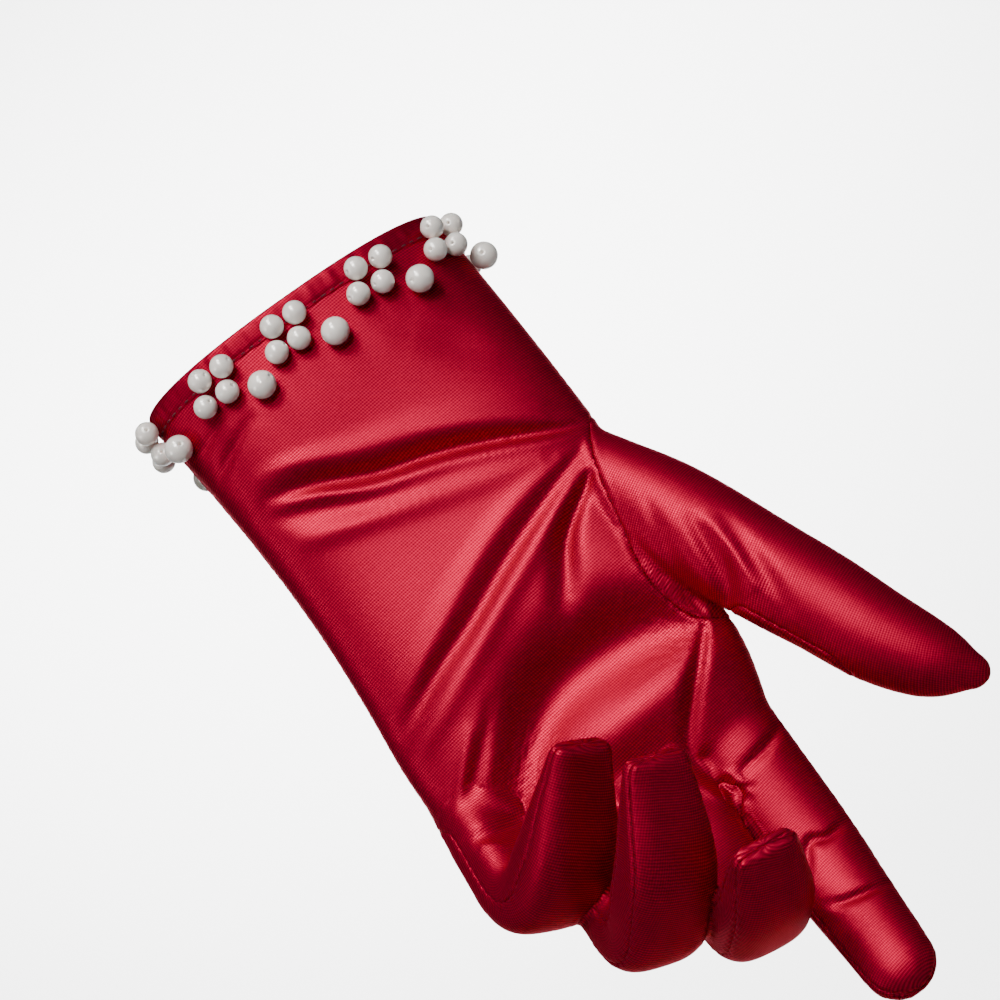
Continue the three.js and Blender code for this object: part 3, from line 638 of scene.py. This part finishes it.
def above(name):
    return data[triangles, columns.index(name)].sum(1) > 0


piece_names = ["palm_panel", "back_panel", "thumb"] + [n for n in seam_fields if "four" in n]
owner = np.where(above("back"), 1, 0)
for k, name in enumerate(piece_names[3:], 3):
    owner[above(name)] = k
owner[above("thumb")] = 2


def shared_edges(triangles):
    ends = np.sort(np.vstack([triangles[:, [0, 1]], triangles[:, [1, 2]], triangles[:, [2, 0]]]), 1)
    face = np.tile(np.arange(len(triangles)), 3)
    order = np.lexsort((ends[:, 1], ends[:, 0]))
    ends, face = ends[order], face[order]
    twin = np.flatnonzero((ends[1:] == ends[:-1]).all(1))
    return ends[twin], face[twin], face[twin + 1]


def triangle_groups(owner, one, other):
    same = owner[one] == owner[other]
    label = np.arange(len(owner))
    while True:
        low = np.minimum(label[one[same]], label[other[same]])
        before = label.copy()
        np.minimum.at(label, one[same], low)
        np.minimum.at(label, other[same], low)
        label = label[label]
        if (label == before).all():
            return label


# A stray patch of a few triangles goes to the panel beside it.
smallest_patch = 400
edge_ends, one, other = shared_edges(triangles)
for _ in range(3):
    label = triangle_groups(owner, one, other)
    small = np.bincount(label, minlength=len(triangles))[label] < smallest_patch
    touch = small[one] & ~small[other]
    owner[one[touch]] = owner[other[touch]]
    touch = small[other] & ~small[one]
    owner[other[touch]] = owner[one[touch]]

# Seams
# Two panels meet in each seam, sewn on the inside with small stitches that draw the cloth into
# a groove between two low lips and pucker it.
seam_edges = edge_ends[owner[one] != owner[other]]
joined = {}
for a, b in seam_edges.tolist():
    joined.setdefault(a, []).append(b)
    joined.setdefault(b, []).append(a)
starts = [v for v, ends in joined.items() if len(ends) != 2] + list(joined)
seam_along = {}
walked = set()
for start in starts:
    for following in joined[start]:
        if (start, following) in walked:
            continue
        distance, before, here = 0.0, start, following
        seam_along.setdefault(start, 0.0)
        while True:
            walked.update([(before, here), (here, before)])
            distance += float(np.linalg.norm(data[here, :3] - data[before, :3]))
            if here in seam_along:
                break
            seam_along[here] = distance
            onward = [v for v in joined[here] if v != before and (here, v) not in walked]
            if len(joined[here]) != 2 or not onward:
                break
            before, here = here, onward[0]
seam_points = np.array(list(seam_along))
seam_place = np.array(list(seam_along.values()))
tree = KDTree(len(seam_points))
for i, vertex in enumerate(seam_points):
    tree.insert(data[vertex, :3], i)
tree.balance()
found = [tree.find(place) for place in data[:, :3].tolist()]
seam_gap = np.array([hit[2] for hit in found])
seam_run = seam_place[np.array([hit[1] for hit in found])]
normals = vertex_normals(data[:, :3], triangles)
groove_deep, groove_reach = 0.22, 0.5
lip_high, lip_place, lip_reach = 0.12, 1.2, 0.6
pucker_deep, pucker_reach, stitch_pitch = 0.06, 1.8, 3.1
groove = groove_deep * np.exp(-(seam_gap / groove_reach) ** 2)
lip = lip_high * np.exp(-((seam_gap - lip_place) / lip_reach) ** 2)
pucker = (pucker_deep * np.exp(-(seam_gap / pucker_reach) ** 2)
          * np.sin(2 * math.pi * seam_run / stitch_pitch))
data[:, :3] -= normals * (groove - lip + pucker)[:, None]

# Satin material
# Deep red satin tricot, knitted of shiny thread: fine crossing ribs, a soft bright sheen and
# slightly darker seams.
def group_input(tree, name, kind, value):
    socket = tree.interface.new_socket(name=name, in_out="INPUT", socket_type=kind)
    socket.default_value = value


weave = bpy.data.node_groups.new("satin_weave", "ShaderNodeTree")
group_input(weave, "Rib Pitch", "NodeSocketFloat", 0.6)
group_input(weave, "Rib Contrast", "NodeSocketFloat", 0.2)
group_input(weave, "Seam Darkness", "NodeSocketFloat", 0.5)
group_input(weave, "Cloth Color", "NodeSocketColor", (0.5, 0.01, 0.04, 1))
weave.interface.new_socket(name="Color", in_out="OUTPUT", socket_type="NodeSocketColor")
weave.interface.new_socket(name="Roughness", in_out="OUTPUT", socket_type="NodeSocketFloat")
weave.interface.new_socket(name="Height", in_out="OUTPUT", socket_type="NodeSocketFloat")


def node(tree, kind, **inputs):
    made = tree.nodes.new(kind)
    for key, value in inputs.items():
        setattr(made, key, value)
    return made


def math_node(tree, operation, first, second=None):
    made = node(tree, "ShaderNodeMath", operation=operation)
    for socket, value in zip(made.inputs, (first, second)):
        if value is None:
            continue
        if isinstance(value, (int, float)):
            socket.default_value = value
        else:
            tree.links.new(value, socket)
    return made.outputs[0]


given = weave.nodes.new("NodeGroupInput")
result = weave.nodes.new("NodeGroupOutput")
cloth_place = node(weave, "ShaderNodeAttribute", attribute_name="cloth_place")
parts = weave.nodes.new("ShaderNodeSeparateXYZ")
weave.links.new(cloth_place.outputs["Vector"], parts.inputs[0])
ribs = []
for slant_u, slant_v in ((0.12, 1.0), (1.0, -0.25)):
    run = math_node(weave, "ADD", math_node(weave, "MULTIPLY", parts.outputs[0], slant_u),
                    math_node(weave, "MULTIPLY", parts.outputs[1], slant_v))
    rib = math_node(weave, "DIVIDE", run, given.outputs["Rib Pitch"])
    cycle = math_node(weave, "MULTIPLY", rib, 2 * math.pi)
    ribs.append(math_node(weave, "SINE", cycle))
crossing = math_node(weave, "MULTIPLY", math_node(weave, "ADD", ribs[0],
                                                  math_node(weave, "MULTIPLY", ribs[1], 0.6)), 0.5)
grain = node(weave, "ShaderNodeTexNoise")
grain.inputs["Scale"].default_value = 1.3
grain.inputs["Detail"].default_value = 3
weave.links.new(cloth_place.outputs["Vector"], grain.inputs["Vector"])
rib_shade = math_node(weave, "MULTIPLY", crossing, given.outputs["Rib Contrast"])
grain_shade = math_node(weave, "MULTIPLY",
                        math_node(weave, "SUBTRACT", grain.outputs["Fac"], 0.5), 0.5)
shade = math_node(weave, "ADD", rib_shade, grain_shade)
seam_place_node = node(weave, "ShaderNodeAttribute", attribute_name="seam_place")
seam_parts = weave.nodes.new("ShaderNodeSeparateXYZ")
weave.links.new(seam_place_node.outputs["Vector"], seam_parts.inputs[0])
near_seam = node(weave, "ShaderNodeMapRange", interpolation_type="SMOOTHSTEP")
near_seam.inputs["From Min"].default_value = 0.5
near_seam.inputs["From Max"].default_value = 0.12
weave.links.new(seam_parts.outputs[0], near_seam.inputs["Value"])
dash = math_node(weave, "SINE", math_node(weave, "MULTIPLY", seam_parts.outputs[1],
                                          2 * math.pi / 1.5))
dash_mask = math_node(weave, "ADD", math_node(weave, "MULTIPLY", dash, 0.3), 0.7)
seam_mask = math_node(weave, "MULTIPLY", math_node(weave, "MULTIPLY", near_seam.outputs[0],
                                                   dash_mask), given.outputs["Seam Darkness"])
bright = math_node(weave, "MULTIPLY", math_node(weave, "ADD", shade, 1.0),
                   math_node(weave, "SUBTRACT", 1.0, seam_mask))
tint = node(weave, "ShaderNodeVectorMath", operation="SCALE")
weave.links.new(given.outputs["Cloth Color"], tint.inputs[0])
weave.links.new(bright, tint.inputs["Scale"])
weave.links.new(tint.outputs["Vector"], result.inputs["Color"])
gloss = math_node(weave, "ADD", 0.52, math_node(weave, "MULTIPLY", shade, -0.15))
weave.links.new(gloss, result.inputs["Roughness"])
height = math_node(weave, "SUBTRACT", math_node(weave, "MULTIPLY", crossing, 0.5),
                   math_node(weave, "MULTIPLY", seam_mask, 1.2))
weave.links.new(height, result.inputs["Height"])


rib_height = 0.0001


def satin_material(name, colour, pitch, contrast, seam_darkness):
    material = bpy.data.materials.new(name)
    material.use_nodes = True
    tree = material.node_tree
    shader = tree.nodes["Principled BSDF"]
    cloth = node(tree, "ShaderNodeGroup", node_tree=weave)
    cloth.inputs["Cloth Color"].default_value = colour
    cloth.inputs["Rib Pitch"].default_value = pitch
    cloth.inputs["Rib Contrast"].default_value = contrast
    cloth.inputs["Seam Darkness"].default_value = seam_darkness
    bump = tree.nodes.new("ShaderNodeBump")
    bump.inputs["Strength"].default_value = 0.55
    bump.inputs["Distance"].default_value = rib_height
    tree.links.new(cloth.outputs["Height"], bump.inputs["Height"])
    tree.links.new(cloth.outputs["Color"], shader.inputs["Base Color"])
    tree.links.new(cloth.outputs["Roughness"], shader.inputs["Roughness"])
    tree.links.new(bump.outputs["Normal"], shader.inputs["Normal"])
    for socket, value in (("Metallic", 0.8), ("Specular IOR Level", 0.3),
                          ("Specular Tint", (1.0, 0.12, 0.25, 1)), ("Sheen Weight", 0.05),
                          ("Sheen Roughness", 0.35), ("Sheen Tint", (1.0, 0.15, 0.28, 1))):
        shader.inputs[socket].default_value = value
    return material


satin = satin_material("red_satin", (0.37, 0.0025, 0.028, 1), 0.64, 0.75, 0.1)

# Cloth panels
# Each panel is one layer of knitted satin about half a millimetre thick, with its ribs running
# along the hand and along each finger, as the cloth is cut.
def cloth_places(points, piece):
    places = np.column_stack([points[:, 0], -points[:, 2]])
    near_limit = 1.35
    first_place = -math.inf if piece == "thumb" else finger_root + 6
    for line in lines[4:] if piece == "thumb" else lines[:4]:
        nearest, s, side, front = line_place(line, points)
        ratio = np.hypot(side / line["wide"][nearest], front / line["rear"][nearest])
        on = (ratio < near_limit) & (s > first_place)
        angle = np.arctan2(side, np.abs(front)) * line["wide"][nearest]
        start = line["centre"][0]
        places[on] = np.column_stack([start[0] + angle, s - start[2]])[on]
    return places


def cloth_piece(name, points, faces, node_name, material, thick, places, seams):
    piece = mesh_object(name, (points / 1000).tolist(), faces, material)
    for label, values in (("cloth_place", places), ("seam_place", seams)):
        layer = piece.data.attributes.new(label, "FLOAT_VECTOR", "POINT")
        layer.data.foreach_set("vector", np.column_stack([values, np.zeros(len(values))]).ravel())
    if thick:
        layer = piece.modifiers.new("cloth_thickness", "SOLIDIFY")
        layer.thickness = thick / 1000
        layer.offset = -1
    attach(piece, "root")
    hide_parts(node_name)


for k, name in enumerate(piece_names):
    own = triangles[owner == k]
    used, index = np.unique(own, return_inverse=True)
    points = data[used, :3]
    cloth_piece(name + "_cloth", points, index.reshape(-1, 3).tolist(), name, satin,
                0.5, cloth_places(points, name),
                np.column_stack([seam_gap[used], seam_run[used]]))

# Turned hem
# The wrist edge of the satin, turned under 6 mm and sewn down, so that it is two layers thick
# and ripples a little between its stitches.
hem_steps = 420
hem_angles = 2 * math.pi * np.arange(hem_steps) / hem_steps
profile = [(-6.2, 0.05), (-6.1, 0.35), (-5.8, 0.62), (-5.4, 0.42), (-5.0, 0.6), (-4.2, 0.72),
           (-3.2, 0.75), (-2.2, 0.75), (-1.3, 0.72), (-0.6, 0.6), (-0.15, 0.3), (0.0, -0.1),
           (-0.2, -0.5), (-0.7, -0.7), (-2.5, -0.75), (-5.0, -0.75), (-6.1, -0.6)]
hem_ring = body_ring(0.0, hem_angles)
hem_run = np.concatenate([[0], np.cumsum(np.linalg.norm(np.diff(hem_ring, axis=0), axis=1))])
rings = []
for height, out in profile:
    ring = body_ring(-height / palm_length, hem_angles, out)
    ripple = (0.12 * np.sin(2 * math.pi * hem_run / 5.3 + 1.4 * np.sin(hem_run / 17))
              + 0.10 * np.sin(2 * math.pi * hem_run / 2.9 + 2 * np.sin(hem_run / 11)))
    outward = ring - ring.mean(0)
    outward[:, 2] = 0
    outward /= np.linalg.norm(outward, axis=1)[:, None]
    ring = ring + outward * (ripple * math.sin(math.pi * min(-height / 6.0, 1)))[:, None]
    ring[:, 2] += 0.1 * np.sin(2 * math.pi * hem_run / 23) * (height < -5)
    rings.append(ring)
hem_points = np.vstack(rings)


def ring_faces(rows, around):
    made = []
    for row in range(rows):
        following = (row + 1) % rows
        for i in range(around):
            n = (i + 1) % around
            made.append((row * around + i, following * around + i, following * around + n,
                         row * around + n))
    return made


hem_faces = ring_faces(len(profile), hem_steps)
hem_satin = satin_material("red_satin_hem", (0.27, 0.002, 0.02, 1), 0.6, 0.5, 0.0)
hem_places = np.column_stack([np.tile(hem_run, len(profile)),
                              np.repeat([-h for h, _ in profile], hem_steps)])
cloth_piece("turned_hem_cloth", hem_points, hem_faces, "turned_hem", hem_satin, 0,
            hem_places, np.full((len(hem_points), 2), 9.0))

# Hem stitches
# One row of fine dark red thread, 5.4 mm below the rim, that holds the turned edge down. The
# ends of each stitch go into the cloth.
stitch_points, stitch_faces = [], []
stitch_count = int(hem_run[-1] / 2.6)
for k in range(stitch_count):
    at = hem_run[-1] * k / stitch_count
    ends = []
    for reach in (0.0, 0.45, 0.95, 1.4, 1.75):
        i = int(np.searchsorted(hem_run, (at + reach) % hem_run[-1])) % hem_steps
        ring = body_ring(5.4 / palm_length, hem_angles[i:i + 1], 0.55)
        ends.append(ring[0])
    ends = np.array(ends)
    way = ends[-1] - ends[0]
    way /= np.linalg.norm(way)
    outward = np.cross(way, (0, 0, 1.0))
    outward /= np.linalg.norm(outward)
    if outward @ (ends[0] * (1, 1, 0)) < 0:
        outward = -outward
    for j, (thick, lift) in enumerate(((0.05, -0.35), (0.17, 0.0), (0.2, 0.08), (0.17, 0.0),
                                       (0.05, -0.35))):
        middle = ends[j] + outward * lift
        for q in range(6):
            turn = 2 * math.pi * q / 6
            stitch_points.append(middle + thick * (math.cos(turn) * outward
                                                   + math.sin(turn) * np.array([0, 0, 1.0])))
    first = k * 30
    for j in range(4):
        for q in range(6):
            a, b = first + j * 6 + q, first + j * 6 + (q + 1) % 6
            stitch_faces.append((a, b, b + 6, a + 6))
    stitch_faces.append(tuple(first + q for q in reversed(range(6))))
    stitch_faces.append(tuple(first + 24 + q for q in range(6)))
thread, thread_shader, _ = two_tone_material("dark_red_thread", 3000, 2, (0.05, 0.002, 0.006),
                                             (0.14, 0.004, 0.016))
thread_shader.inputs["Roughness"].default_value = 0.6
stitches = mesh_object("hem_stitches", [tuple(p / 1000) for p in stitch_points], stitch_faces,
                       thread)
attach(stitches, "root")

# Pearls
# Drilled plastic pearls with a cream pearl coat, five to a motif, each with a hole through it
# for the thread that sews it to the cloth.
coat, coat_shader, coat_cloud = two_tone_material("cream_pearl_coat", 260, 4, (0.95, 0.85, 0.77),
                                                  (1.0, 0.95, 0.88))
coat_tree = coat.node_tree
coat_gloss = coat_tree.nodes.new("ShaderNodeMapRange")
coat_gloss.inputs["To Min"].default_value = 0.2
coat_gloss.inputs["To Max"].default_value = 0.32
coat_tree.links.new(coat_cloud.outputs["Fac"], coat_gloss.inputs["Value"])
coat_tree.links.new(coat_gloss.outputs[0], coat_shader.inputs["Roughness"])
for socket, value in (("Coat Weight", 0.8), ("Coat Roughness", 0.04), ("Metallic", 0.08),
                      ("Subsurface Weight", 0.1), ("Subsurface Radius", (1.0, 0.8, 0.7)),
                      ("Subsurface Scale", 0.003), ("Specular IOR Level", 0.6),
                      ("Sheen Weight", 0.2)):
    coat_shader.inputs[socket].default_value = value

around, rows, hole = 32, 20, 0.12
bead_faces = ring_faces(rows, around)
for node_name in [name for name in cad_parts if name.startswith("pearl")]:
    low, high = (np.array(corner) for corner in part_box(node_name))
    middle = (low + high) / 2
    radius = float((high - low).max()) / 2
    outward = Vector((middle[0], middle[1], 0)).normalized()
    hole_way = Vector((0, 0, 1)).cross(outward).normalized()
    side_way = hole_way.cross(outward).normalized()
    angles = np.linspace(math.asin(hole), math.pi - math.asin(hole), rows)
    outline = [(radius * math.sin(t), radius * math.cos(t)) for t in angles]
    points = []
    for reach, height in outline:
        for i in range(around):
            turn = 2 * math.pi * i / around
            points.append(tuple(Vector(middle) + hole_way * height + reach * (
                math.cos(turn) * outward + math.sin(turn) * side_way)))
    bead = mesh_object(node_name + "_bead", points, bead_faces, coat)
    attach(bead, "root")
    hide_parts(node_name)
